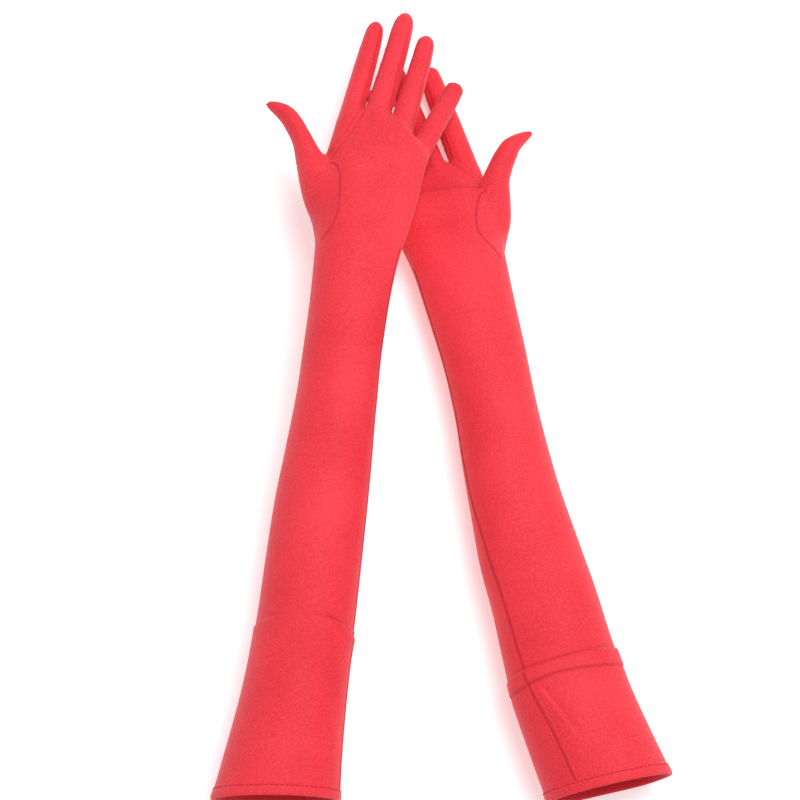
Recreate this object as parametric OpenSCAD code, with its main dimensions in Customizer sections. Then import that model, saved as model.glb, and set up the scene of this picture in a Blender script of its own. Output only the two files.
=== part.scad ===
// A pair of long stretch-knit opera gloves, laid palms up with the left hand over the right.
// Millimetres. +Z is up from the table, +Y runs from the arm openings to the fingertips.
// Each glove is drawn as a left glove, thumb towards -X, and the right one is its mirror image.
// A value with two numbers is [left glove, right glove].

/* [Sleeve] */
// Width of the sleeve across the hem
hem_w = 80; // [70:1:95]
// Height of the sleeve at the hem
hem_h = 64; // [50:1:75]
// Width of the sleeve at the elbow
elbow_w = [67, 72]; // [55:1:80]
// Height of the sleeve at the elbow
elbow_h = 58; // [45:1:65]
// Width of the sleeve halfway down the forearm
forearm_w = [56, 61]; // [52:1:70]
// Height of the sleeve halfway down the forearm
forearm_h = 50; // [42:1:58]
// Width at the wrist
wrist_w = [60, 65]; // [50:1:68]
// Height at the wrist
wrist_h = 40; // [32:1:46]
// Length of the sleeve from the hem to the elbow
upper_l = [119, 78]; // [60:1:140]
// Skew of the hem, as a rise along the sleeve for each unit across it
hem_skew = [0.125, 0]; // [-0.2:0.005:0.2]
// Length of the sleeve from the elbow to the wrist
forearm_l = [254, 297]; // [220:1:330]

/* [Hand] */
// Width across the palm
palm_w = [67, 71]; // [60:1:74]
// Height of the glove at the middle of the palm
palm_h = [33, 33]; // [26:1:35]
// Height of the glove at the knuckles
knuckle_h = [21, 19]; // [18:1:24]
// Length of palm that is gathered up under the knuckle crease
gather = [0, 27]; // [0:1:30]
// Length of the opening that the thumb is set into
thumb_hole_l = [57, 52]; // [44:1:60]
// Distance from the wrist to the thumb opening
thumb_hole_y = [4, 2]; // [2:1:8]
// How far round the hand the thumb opening reaches from the side
thumb_hole_turn = [50, 46]; // [44:1:54]
// Share of the palm's length at which it reaches its full width
full_palm_share = 0.35; // [0.3:0.01:0.4]
// Share of the palm's length at which it starts to fall away to the knuckles
crease_share = 0.62; // [0.55:0.01:0.7]

/* [Thumb] */
// Length of the thumb from the middle of its opening to the tip
thumb_l = [87, 73]; // [64:1:96]
// Width of the thumb at its middle
thumb_w = 20; // [16:1:22]
// Height of the thumb at its middle
thumb_h = 17; // [14:1:20]
// Angle of the thumb outwards from the hand
thumb_yaw = [41, 44]; // [35:1:50]
// Angle of the thumb upwards from the hand
thumb_pitch = [4, 20]; // [0:1:24]
// Height of the underside of the thumb's base above the back of the hand
thumb_base_z = [2, 5]; // [1:0.5:7]
// Depth of the top of the thumb's base under the top of the palm
thumb_base_top = 4; // [3:0.5:8]

/* [Fingers: index, middle, ring, little] */
// Length of each finger
finger_l = [80, 87.5, 79, 60]; // [50:0.5:105]
// Height of each finger at its base
finger_h = [16.5, 16.5, 16, 14]; // [11:0.5:20]
// Distance of each finger's base from the wrist, with the palm stretched flat
finger_y = [98, 102, 94, 80]; // [70:1:110]
// Width of each left finger at its base
left_finger_w = [17.4, 17.2, 16.2, 14.8]; // [13:0.1:18]
// Width of each right finger at its base, where the knit sits looser
right_finger_w = [21, 17.2, 16.2, 14.8]; // [13:0.1:21]
// Distance from the thumb's side of the palm to the middle of the index finger's base
index_inset = 10.1; // [9:0.1:12]
// Distance from the other side of the palm to the middle of the little finger's base
little_inset = [4.3, 6.3]; // [3:0.1:8]
// Place of the middle finger on the way from the index finger to the little one
middle_share = [0.354, 0.377]; // [0.33:0.001:0.4]
// Place of the ring finger on the way from the index finger to the little one
ring_share = [0.69, 0.701]; // [0.66:0.001:0.73]
// Lean of the left fingers towards the little finger's side
left_finger_yaw = [2.5, 3.2, 3.4, 15]; // [0:0.1:20]
// Lean of the right fingers towards the little finger's side
right_finger_yaw = [2, 4, 6, 12]; // [0:0.1:20]
// Downward slope of the fingers from the hand
finger_drop = [6, 0]; // [0:1:10]
// Height of the underside of the fingers' bases above the back of the hand
finger_back_z = [2, 0.5]; // [0.5:0.5:3]

/* [Fabric and sewing] */
// Thickness of the knit, with its pile and lining loops
wall = 1.2; // [1:0.1:1.5]
// Depth of the turned hem band
hem_band_l = 7; // [5:0.5:12]
// Thickness of the turned hem band
hem_band_t = 2.4; // [2:0.1:3]
// Gap between two pieces that are sewn edge to edge
seam_gap = 1; // [0.8:0.1:1.4]
// Gap between two pieces that bend at a flex line
flex_gap = 1.2; // [1:0.1:2]
// Diameter of the seam thread
thread_d = 0.7; // [0.5:0.1:0.7]
// Length of one hem stitch
stitch_l = 2.2; // [1.5:0.1:3]
// Hem stitches on each facet of the band
stitches_per_facet = 3; // [2:1:4]

/* [Pose] */
// Place of the wrists across the table
wrist_x = [-53.5, -14.5]; // [-70:0.5:0]
// Place of the wrists along the table
wrist_y = [92, 96]; // [80:0.5:110]
// Clearance of the left wrist over the right palm
hands_gap = 8; // [4:0.5:30]
// Turn of each sleeve above the elbow
upper_yaw = [8, 19.5]; // [0:0.5:25]
// Turn of each forearm
forearm_yaw = [7.7, 12.8]; // [0:0.1:20]
// Turn of each hand
hand_yaw = [10, 16]; // [0:0.5:25]
// Slope of each hand upwards from the wrist
hand_pitch = [-3, 0]; // [-6:0.5:0]

/* [Hidden] */

LEFT = 0;
RIGHT = 1;
INDEX = 0;
MIDDLE = 1;
RING = 2;
LITTLE = 3;

red = [0.96, 0.25, 0.29];
deep_red = [0.80, 0.12, 0.20];

wrist_z = [palm_h[RIGHT] + hands_gap, 0];   // height of the back of each wrist
mid_share = 0.47;        // height of the widest line, as a share of the section's height
flat_share = 0.85;       // how far down the round underside goes before it lies flat
tip_share = 0.12;        // size of a fingertip's last ring against the finger's base
thumb_hole_ramp = 3;     // length over which the edge of the thumb opening turns inwards
ulnar_lift = 8;          // how far above the side the long seam runs
front_turn = 38;         // angle at which the front of a finger meets its side strip
step_w = 0.4;            // angle taken by the step between two finger bases
stitch_up = 0.1;         // height of the stitches above the hem band
thumb_gap = 1.5;         // gap between the palm and the thumb's base, in seam gaps
full_turn = 360;
half_turn = 180;

sleeve_facets = 20;
sleeve_rings = 7;
thumb_facets = 12;
front_facets = 4;
strip_facets = 3;
index_facets = 10;
little_facets = 5;
thread_sides = 6;
thumb_thread_rings = 6;
finger_ts = [0, 0.3, 0.6, 0.8, 0.9, 0.96, 1];
thumb_ts = [0, 0.12, 0.24, 0.4, 0.6, 0.8, 0.92, 1];
last_hand_ring = 0.94;   // furthest place of the hand's last ring but one

function lerp(a, b, t) = a + (b - a) * t;
function steps(n) = [for (i = [0 : n]) i / n];
function turns(a, b, n) = [for (i = [0 : n]) lerp(a, b, i / n)];

// ---- Sections -------------------------------------------------------------------------------
// A shape is a list of rows [share of length, centre x, half width, height, height of its back].
function row_value(shape, t, k) = lookup(t, [for (row = shape) [row[0], row[k]]]);

// One point of a section: angle 0 is the little finger's side, 90 the palm, 180 the thumb's side.
function section_point(shape, t, turn, inset) =
    let (
        height = row_value(shape, t, 3),
        mid = mid_share * height,
        back = row_value(shape, t, 4),
        half_w = max(row_value(shape, t, 2) - inset, tip_share),
        up = max(height - mid - inset, tip_share),
        down = max(mid - inset, tip_share),
        lift = sin(turn)
    )
    [
        row_value(shape, t, 1) + half_w * cos(turn),
        back + mid + (lift >= 0 ? up * lift : -down * min(-lift / flat_share, 1)),
    ];

// A place [x, y, z] on the piece: y runs from y0 to y1, and each end may slope with x and z.
function surface_point(shape, t, turn, inset, y0, y1, tip_inset, start_slope, end_slope) =
    let (
        p = section_point(shape, t, turn, inset),
        sloped = (1 - t) * (start_slope * p) + t * (end_slope * p)
    )
    [p[0], lerp(y0, y1 - tip_inset, t) + sloped, p[1]];

// Closed shell between two grids of points, each with one row of points per ring.
module shell(outer, inner) {
    rings = len(outer);
    cols = len(outer[0]);
    all_points = concat([for (r = outer) each r], [for (r = inner) each r]);
    shift = rings * cols;
    function at(i, j) = i * cols + j;
    skin = [for (i = [0 : rings - 2], j = [0 : cols - 2])
        each [[at(i, j), at(i, j + 1), at(i + 1, j)], [at(i, j + 1), at(i + 1, j + 1), at(i + 1, j)]]];
    lining = [for (f = skin) [f[0] + shift, f[2] + shift, f[1] + shift]];
    ends = [for (i = [0, rings - 1], j = [0 : cols - 2])
        let (a = at(i, j), b = at(i, j + 1))
        each i == 0
            ? [[a, a + shift, b], [b, a + shift, b + shift]]
            : [[a, b, a + shift], [b, b + shift, a + shift]]];
    sides = [for (j = [0, cols - 1], i = [0 : rings - 2])
        let (a = at(i, j), b = at(i + 1, j))
        each j == 0
            ? [[a, b, a + shift], [b, b + shift, a + shift]]
            : [[a, a + shift, b], [b, a + shift, b + shift]]];
    polyhedron(all_points, concat(skin, lining, ends, sides));
}

// A piece of fabric that follows a shape between two angles.
module panel(shape, angles, ts, y0, y1, closed_tip = false, start_slope = [0, 0], end_slope = [0, 0],
        thickness = wall) {
    tip_inset = closed_tip ? thickness : 0;
    shell(
        [for (t = ts) [for (a = angles)
            surface_point(shape, t, a, 0, y0, y1, 0, start_slope, end_slope)]],
        [for (t = ts) [for (a = angles)
            surface_point(shape, t, a, thickness, y0, y1, tip_inset * t, start_slope, end_slope)]]);
}

// A thread through the given points, which run roughly along Y.
module thread(points) {
    count = len(points);
    ring_points = [for (p = points, k = [0 : thread_sides - 1])
        let (a = full_turn * k / thread_sides)
        p + thread_d / 2 * [cos(a), 0, sin(a)]];
    function at(i, k) = i * thread_sides + k % thread_sides;
    skin = [for (i = [0 : count - 2], k = [0 : thread_sides - 1])
        each [[at(i, k), at(i, k + 1), at(i + 1, k)], [at(i, k + 1), at(i + 1, k + 1), at(i + 1, k)]]];
    first = [for (k = [thread_sides - 1 : -1 : 0]) at(0, k)];
    last = [for (k = [0 : thread_sides - 1]) at(count - 1, k)];
    polyhedron(ring_points, concat(skin, [first, last]));
}

// Slope of an end that must lie square to a neighbour turned by these angles.
function mating_slope(yaw, pitch) = [-tan(yaw), -tan(pitch) / cos(yaw)];

// Angle taken up by half of the seam gap on a section of this half width.
function half_gap_turn(half_w) = asin(seam_gap / 2 / half_w);

// ---- Placing --------------------------------------------------------------------------------
forearm_pitch = [for (g = [LEFT, RIGHT]) asin(wrist_z[g] / forearm_l[g])];

module on_side(g) {
    if (g == LEFT) children();
    else mirror([1, 0, 0]) children();
}

module at_wrist(g, pitch, yaw) {
    on_side(g) translate([wrist_x[g], wrist_y[g], wrist_z[g]]) rotate([pitch, 0, -yaw]) children();
}

module in_forearm(g) {
    at_wrist(g, forearm_pitch[g], forearm_yaw[g]) children();
}

module in_upper_sleeve(g) {
    on_side(g) translate(elbow_point(g)) rotate([0, 0, -upper_yaw[g]]) children();
}

module in_hand(g) {
    at_wrist(g, hand_pitch[g], hand_yaw[g]) children();
}

function elbow_point(g) =
    let (reach = forearm_l[g] * cos(forearm_pitch[g]))
    [wrist_x[g] - reach * sin(forearm_yaw[g]), wrist_y[g] - reach * cos(forearm_yaw[g]), 0];

// ---- Sleeve ---------------------------------------------------------------------------------
function upper_shape(g) = [[0, 0, hem_w / 2, hem_h, 0], [1, 0, elbow_w[g] / 2, elbow_h, 0]];
function forearm_shape(g) = [
    [0, 0, elbow_w[g] / 2, elbow_h, 0],
    [0.5, 0, forearm_w[g] / 2, forearm_h, 0],
    [1, 0, wrist_w[g] / 2, wrist_h, 0],
];
elbow_slope = [for (g = [LEFT, RIGHT]) mating_slope(forearm_yaw[g] - upper_yaw[g], forearm_pitch[g])];
sleeve_turn = ulnar_lift + half_gap_turn(min(wrist_w) / 2);
sleeve_angles = turns(sleeve_turn, full_turn + 2 * ulnar_lift - sleeve_turn, sleeve_facets);

module upper_sleeve_panel(g) {
    color(red) in_upper_sleeve(g)
        panel(upper_shape(g), sleeve_angles, steps(sleeve_rings), hem_band_l + seam_gap - upper_l[g],
            -flex_gap, start_slope = hem_slope(g), end_slope = elbow_slope[g]);
}

module forearm_panel(g) {
    color(red) in_forearm(g)
        panel(forearm_shape(g), sleeve_angles, steps(sleeve_rings), -forearm_l[g], 0);
}

// The long seam's thread lies in the gap between the two edges of the sleeve panel.
function seam_points(shape, y0, y1, start_slope, end_slope) =
    [for (t = steps(sleeve_rings))
        surface_point(shape, t, ulnar_lift, wall / 2, y0, y1, 0, start_slope, end_slope)];

module upper_seam_thread(g) {
    color(deep_red) in_upper_sleeve(g)
        thread(seam_points(upper_shape(g), hem_band_l + seam_gap - upper_l[g], -flex_gap,
            hem_slope(g), elbow_slope[g]));
}

module forearm_seam_thread(g) {
    color(deep_red) in_forearm(g)
        thread(seam_points(forearm_shape(g), -forearm_l[g], 0, [0, 0], [0, 0]));
}

// The hem is the sleeve's end turned in and sewn down, so it is thicker than the sleeve.
function hem_slope(g) = [hem_skew[g], 0];

module hem_band(g) {
    color(red) in_upper_sleeve(g)
        panel([upper_shape(g)[0]], sleeve_angles, [0, 1], -upper_l[g], hem_band_l - upper_l[g],
            start_slope = hem_slope(g), end_slope = hem_slope(g), thickness = hem_band_t);
}

// Stitches lie on the flats of the hem band, a hair above the fabric.
module hem_stitching(g) {
    color(deep_red) in_upper_sleeve(g)
        for (j = [0 : sleeve_facets - 1], k = [1 : stitches_per_facet]) {
            a = section_point(upper_shape(g), 0, sleeve_angles[j], 0);
            b = section_point(upper_shape(g), 0, sleeve_angles[j + 1], 0);
            along = b - a;
            place = lerp(a, b, k / (stitches_per_facet + 1));
            if (norm(along) > (stitches_per_facet + 1) * stitch_l && place[1] > 3 * thread_d)
                translate([place[0], hem_band_l - 2 * thread_d - upper_l[g] + hem_skew[g] * place[0], place[1]])
                    rotate([0, -atan2(along[1], along[0]), 0])
                        translate([-stitch_l / 2, 0, -stitch_up - thread_d])
                            cube([stitch_l, thread_d, thread_d]);
        }
}

// ---- Hand -----------------------------------------------------------------------------------
function finger_w(g) = g == LEFT ? left_finger_w : right_finger_w;

// The fingers keep their places between the two sides of the palm.
function finger_x(g) =
    let (index = index_inset - palm_w[g] / 2, little = palm_w[g] / 2 - little_inset[g])
    [index, lerp(index, little, middle_share[g]), lerp(index, little, ring_share[g]), little];
function knuckle_x(g) = (finger_x(g)[INDEX] + finger_x(g)[LITTLE]) / 2;

function hand_shape(g) = [
    [0, 0, wrist_w[g] / 2, wrist_h, 0],
    [full_palm_share, 0, palm_w[g] / 2, palm_h[g], 0],
    [crease_share, knuckle_x(g) / 2, palm_w[g] / 2, palm_h[g], 0],
    [1, knuckle_x(g), palm_w[g] / 2, knuckle_h[g], 0],
];

function finger_yaw(g) = g == LEFT ? left_finger_yaw : right_finger_yaw;
function between(g, a, b) = (finger_x(g)[a] + finger_x(g)[b]) / 2;
function finger_at(g, x) =
    x < between(g, INDEX, MIDDLE) ? INDEX : x < between(g, MIDDLE, RING) ? MIDDLE
    : x < between(g, RING, LITTLE) ? RING : LITTLE;
function knuckle_y(g, f) = finger_y[f] - gather[g];
function hand_reach(g) = knuckle_y(g, INDEX);
function palm_end(g, x) =
    let (f = finger_at(g, x))
    knuckle_y(g, f) - tan(finger_yaw(g)[f]) * (x - finger_x(g)[f]);

// Angles round the palm, with a pair close together at each step between two fingers.
function boundary_turn(g, a, b) = acos((between(g, a, b) - knuckle_x(g)) / (palm_w[g] / 2));
function palm_angles(g, first, last) =
    let (
        b = [boundary_turn(g, RING, LITTLE), boundary_turn(g, MIDDLE, RING), boundary_turn(g, INDEX, MIDDLE)]
    )
    concat(
        turns(first, b[0] - step_w, 3), turns(b[0] + step_w, b[1] - step_w, 2),
        turns(b[1] + step_w, b[2] - step_w, 2), turns(b[2] + step_w, last, 3));

// The opening in the hand starts and ends a seam gap clear of the thumb's base.
function hole_start(g) = thumb_hole_y[g] - seam_gap;
function hole_end(g) = thumb_hole_y[g] + thumb_hole_l[g] + seam_gap;

// How far the hand piece reaches round to the thumb's side at a distance y from the wrist.
function thumb_side_turn(g, y, edge) =
    let (y0 = hole_start(g), y1 = hole_end(g), hole_edge = half_turn - thumb_hole_turn[g])
    lookup(y, [
        [y0 - thumb_hole_ramp, edge],
        [y0, hole_edge],
        [y1, hole_edge],
        [y1 + thumb_hole_ramp, edge],
    ]);

wrist_slope = [for (g = [LEFT, RIGHT])
    mating_slope(forearm_yaw[g] - hand_yaw[g], forearm_pitch[g] - hand_pitch[g])];

// Rings of the hand, close together where the thumb opening starts and ends.
function hand_ys(g) =
    let (y0 = hole_start(g), y1 = hole_end(g), reach = hand_reach(g))
    [0, (y0 + thumb_hole_ramp) / reach, lerp(y0, y1, 0.25) / reach, lerp(y0, y1, 0.5) / reach,
        lerp(y0, y1, 0.75) / reach, y1 / reach, min((y1 + thumb_hole_ramp) / reach, last_hand_ring), 1];

module hand_half(g, side) {
    shape = hand_shape(g);
    edge_turn = half_gap_turn(palm_w[g] / 2);
    first = side > 0 ? ulnar_lift + edge_turn : edge_turn - ulnar_lift;
    ts = hand_ys(g);
    reach = hand_reach(g);
    function grid(inset) = [for (t = ts)
        let (last = thumb_side_turn(g, t * reach, half_turn - edge_turn))
        [for (a = palm_angles(g, first, half_turn - edge_turn))
            let (
                turn = side * min(a, last + (a - half_turn) / half_turn),
                end_x = section_point(shape, 1, side * a, 0)[0],
                p = section_point(shape, t, turn, inset)
            )
            [p[0], lerp(flex_gap + wrist_slope[g] * p, palm_end(g, end_x), t), p[1]]]];
    if (side > 0) shell(grid(0), grid(wall));
    else shell(grid(wall), grid(0));
}

module palm_panel(g) {
    color(red) in_hand(g) hand_half(g, 1);
}

module back_panel(g) {
    color(red) in_hand(g) hand_half(g, -1);
}

// ---- Thumb ----------------------------------------------------------------------------------
function thumb_edge_x(g) = -palm_w[g] / 2 * cos(thumb_hole_turn[g]);
function thumb_base_x(g) = thumb_edge_x(g) - thumb_gap * seam_gap;

// The thumb's base is square to the opening in the hand, and its tip leans outwards.
function thumb_shape(g) =
    let (
        base = (thumb_hole_l[g] / 2 - seam_gap) * sin(thumb_yaw[g]),
        base_h = palm_h[g] - thumb_base_z[g] - thumb_base_top,
        w = thumb_w / 2,
        h = thumb_h
    )
    [
        [0, 0, base, base_h, 0],
        [0.12, -0.3 * w, lerp(base, w, 0.3), lerp(base_h, h, 0.3), 0.05 * h],
        [0.24, -0.3 * w, lerp(base, w, 0.6), lerp(base_h, h, 0.6), 0.1 * h],
        [0.4, -0.1 * w, w, h, 0.15 * h],
        [0.8, 0.15 * w, 0.75 * w, 0.85 * h, 0.2 * h],
        [0.92, -0.15 * w, 0.5 * w, 0.55 * h, 0.35 * h],
        [1, -0.4 * w, tip_share * w, tip_share * h, 0.5 * h],
    ];

module in_thumb(g) {
    in_hand(g)
        translate([thumb_base_x(g), thumb_hole_y[g] + thumb_hole_l[g] / 2, thumb_base_z[g]])
            rotate([thumb_pitch[g], 0, thumb_yaw[g]]) children();
}

module thumb_panel(g) {
    gap_turn = half_gap_turn(thumb_w / 2);
    slope = [1 / tan(thumb_yaw[g]) / cos(thumb_pitch[g]), tan(thumb_pitch[g])];
    color(red) in_thumb(g)
        panel(thumb_shape(g), turns(gap_turn, full_turn - gap_turn, thumb_facets), thumb_ts,
            0, thumb_l[g], closed_tip = true, start_slope = slope);
}

// The thread that sews the thumb in, in the gap along the palm's side of the opening.
module thumb_seam_thread(g) {
    x = (thumb_base_x(g) + thumb_edge_x(g)) / 2;
    color(deep_red) in_hand(g)
        thread([for (k = steps(thumb_thread_rings))
            let (
                y = thumb_hole_y[g] + k * thumb_hole_l[g],
                edge = section_point(hand_shape(g), y / hand_reach(g), half_turn - thumb_hole_turn[g], wall / 2)
            )
            [x, y, edge[1]]]);
}

// ---- Fingers --------------------------------------------------------------------------------
function finger_shape(g, f) =
    let (w = finger_w(g)[f] / 2, h = finger_h[f])
    [
        [0, 0, w, h, 0],
        [0.3, 0, 0.96 * w, 0.97 * h, 0],
        [0.8, 0, 0.82 * w, 0.86 * h, 0.04 * h],
        [0.9, 0, 0.68 * w, 0.7 * h, 0.12 * h],
        [0.96, 0, 0.45 * w, 0.45 * h, 0.25 * h],
        [1, 0, tip_share * w, tip_share * h, 0.42 * h],
    ];

module in_finger(g, f) {
    in_hand(g)
        translate([finger_x(g)[f], knuckle_y(g, f) + flex_gap, finger_back_z[g]])
            rotate([-finger_drop[g], 0, -finger_yaw(g)[f]]) children();
}

// A piece of a finger between two angles, with half a seam gap taken off each edge.
module finger_piece(g, f, from, to, facets) {
    gap_turn = half_gap_turn(finger_w(g)[f] / 2);
    in_finger(g, f)
        panel(finger_shape(g, f), turns(from + gap_turn, to - gap_turn, facets), finger_ts,
            0, finger_l[f], closed_tip = true);
}

module finger_front(g, f) {
    color(red) finger_piece(g, f, front_turn, half_turn - front_turn, front_facets);
}

module finger_back(g, f) {
    color(red) finger_piece(g, f, half_turn + front_turn, full_turn - front_turn, front_facets);
}

module little_side_strip(g, f) {
    color(red) finger_piece(g, f, -front_turn, front_turn, strip_facets);
}

module thumb_side_strip(g, f) {
    color(red) finger_piece(g, f, half_turn - front_turn, half_turn + front_turn, strip_facets);
}

// The index piece is folded round the thumb's side, so it has one side strip.
module index_panel(g) {
    color(red) finger_piece(g, INDEX, front_turn, full_turn - front_turn, index_facets);
}

// The long side seam runs on along the little finger, so its front and back meet there.
module little_front(g) {
    color(red) finger_piece(g, LITTLE, 0, half_turn - front_turn, little_facets);
}

module little_back(g) {
    color(red) finger_piece(g, LITTLE, half_turn + front_turn, full_turn, little_facets);
}

hem_band(LEFT);  // left_hem_band
hem_stitching(LEFT);  // left_hem_stitching
upper_sleeve_panel(LEFT);  // left_upper_sleeve_panel
upper_seam_thread(LEFT);  // left_upper_seam_thread
forearm_panel(LEFT);  // left_forearm_panel
forearm_seam_thread(LEFT);  // left_forearm_seam_thread
palm_panel(LEFT);  // left_palm_panel
back_panel(LEFT);  // left_back_panel
thumb_panel(LEFT);  // left_thumb_panel
thumb_seam_thread(LEFT);  // left_thumb_seam_thread
index_panel(LEFT);  // left_index_panel
little_side_strip(LEFT, INDEX);  // left_index_fourchette
finger_front(LEFT, MIDDLE);  // left_middle_front
finger_back(LEFT, MIDDLE);  // left_middle_back
thumb_side_strip(LEFT, MIDDLE);  // left_middle_index_fourchette
little_side_strip(LEFT, MIDDLE);  // left_middle_ring_fourchette
finger_front(LEFT, RING);  // left_ring_front
finger_back(LEFT, RING);  // left_ring_back
thumb_side_strip(LEFT, RING);  // left_ring_middle_fourchette
little_side_strip(LEFT, RING);  // left_ring_little_fourchette
little_front(LEFT);  // left_little_front
little_back(LEFT);  // left_little_back
thumb_side_strip(LEFT, LITTLE);  // left_little_fourchette
hem_band(RIGHT);  // right_hem_band
hem_stitching(RIGHT);  // right_hem_stitching
upper_sleeve_panel(RIGHT);  // right_upper_sleeve_panel
upper_seam_thread(RIGHT);  // right_upper_seam_thread
forearm_panel(RIGHT);  // right_forearm_panel
forearm_seam_thread(RIGHT);  // right_forearm_seam_thread
palm_panel(RIGHT);  // right_palm_panel
back_panel(RIGHT);  // right_back_panel
thumb_panel(RIGHT);  // right_thumb_panel
thumb_seam_thread(RIGHT);  // right_thumb_seam_thread
index_panel(RIGHT);  // right_index_panel
little_side_strip(RIGHT, INDEX);  // right_index_fourchette
finger_front(RIGHT, MIDDLE);  // right_middle_front
finger_back(RIGHT, MIDDLE);  // right_middle_back
thumb_side_strip(RIGHT, MIDDLE);  // right_middle_index_fourchette
little_side_strip(RIGHT, MIDDLE);  // right_middle_ring_fourchette
finger_front(RIGHT, RING);  // right_ring_front
finger_back(RIGHT, RING);  // right_ring_back
thumb_side_strip(RIGHT, RING);  // right_ring_middle_fourchette
little_side_strip(RIGHT, RING);  // right_ring_little_fourchette
little_front(RIGHT);  // right_little_front
little_back(RIGHT);  // right_little_back
thumb_side_strip(RIGHT, LITTLE);  // right_little_fourchette
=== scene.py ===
"""Looks of a pair of red stretch-knit opera gloves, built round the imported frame.

Lengths are in millimetres until a mesh is made, and angles in degrees. Each glove is shaped in a
space of its own: u runs along the forearm towards the fingers, v towards the little finger's side,
z up, and the wrist is at u = v = 0. The right glove is shaped as a left one and then mirrored.
"""

import math

import bpy
import numpy as np
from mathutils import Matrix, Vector
from mathutils.bvhtree import BVHTree
from mathutils.kdtree import KDTree


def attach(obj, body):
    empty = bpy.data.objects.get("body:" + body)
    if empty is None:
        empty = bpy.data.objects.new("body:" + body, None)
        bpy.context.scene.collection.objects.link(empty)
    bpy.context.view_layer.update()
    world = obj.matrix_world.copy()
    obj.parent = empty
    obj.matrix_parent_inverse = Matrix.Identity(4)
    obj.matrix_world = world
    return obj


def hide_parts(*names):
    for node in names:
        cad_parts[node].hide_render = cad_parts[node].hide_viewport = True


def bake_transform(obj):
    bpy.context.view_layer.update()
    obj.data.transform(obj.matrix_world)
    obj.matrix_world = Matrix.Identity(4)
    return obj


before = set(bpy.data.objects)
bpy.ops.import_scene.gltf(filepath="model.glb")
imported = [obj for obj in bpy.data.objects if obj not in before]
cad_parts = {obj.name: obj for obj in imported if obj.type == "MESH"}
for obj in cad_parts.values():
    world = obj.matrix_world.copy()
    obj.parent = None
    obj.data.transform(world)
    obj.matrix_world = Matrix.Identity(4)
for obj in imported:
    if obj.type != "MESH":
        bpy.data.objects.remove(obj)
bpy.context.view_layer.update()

MM = 0.001
RNG = np.random.default_rng(7)

# ---- Camera, in metres ------------------------------------------------------------------------
VIEW_TARGET = Vector((-0.0255, -0.007, 0.020))
VIEW_DISTANCE = 1.30
VIEW_ELEVATION = math.radians(72)
VIEW_LENS, VIEW_SENSOR = 86.6, 36   # millimetres
VIEW_CLIP = (0.05, 20)

camera = bpy.data.objects.new("view", bpy.data.cameras.new("view"))
bpy.context.scene.collection.objects.link(camera)
camera.data.sensor_width = VIEW_SENSOR
camera.data.lens = VIEW_LENS
camera.data.clip_start, camera.data.clip_end = VIEW_CLIP
camera.location = VIEW_TARGET + VIEW_DISTANCE * Vector(
    (0, -math.cos(VIEW_ELEVATION), math.sin(VIEW_ELEVATION)))
camera.rotation_euler = (math.pi / 2 - VIEW_ELEVATION, 0, 0)
bpy.context.scene.camera = camera

# ---- Sizes of the two gloves --------------------------------------------------------------------
# How the gloves lie and their lengths are those of the part's source. The outlines, the fingers'
# widths and the thumbs' lean follow the photo a little more closely than the source's do.
FINGERS = ("index", "middle", "ring", "little")
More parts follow.
